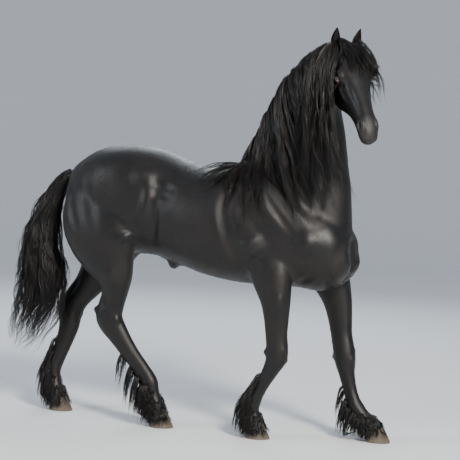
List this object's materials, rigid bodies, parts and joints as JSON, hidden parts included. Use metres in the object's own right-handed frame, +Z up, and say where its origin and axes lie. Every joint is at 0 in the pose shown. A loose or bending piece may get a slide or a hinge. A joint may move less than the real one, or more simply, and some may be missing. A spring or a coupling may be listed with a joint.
{
  "type": "friesian horse model",
  "caption": "Life-size standing model of a black friesian stallion with long mane, full tail and feathered legs, head turned to its right",
  "frame": {"origin": "on the floor, under the middle of the bounding box", "axes": "+Z up, +X the way the trunk faces, +Y its left side; the head is turned towards -Y"},
  "size_m": [2.3914, 0.7928, 2.3432],
  "materials": {
    "coat": "glossy short black coat",
    "long_hair": "long wavy black hair",
    "eye": "wet dark brown",
    "hoof": "dull horn, grey-tan"
  },
  "bodies": {
    "root": {"torso": "coat", "neck": "coat", "head": "coat", "ear_left": "coat", "ear_right": "coat", "eye_left": "eye", "eye_right": "eye", "upper_foreleg_left": "coat", "upper_foreleg_right": "coat", "upper_hindleg_left": "coat", "upper_hindleg_right": "coat", "lower_foreleg_left": "coat", "lower_foreleg_right": "coat", "lower_hindleg_left": "coat", "lower_hindleg_right": "coat", "hoof_fore_left": "hoof", "hoof_fore_right": "hoof", "hoof_hind_left": "hoof", "hoof_hind_right": "hoof", "tail": "long_hair"}
  },
  "joints": []
}
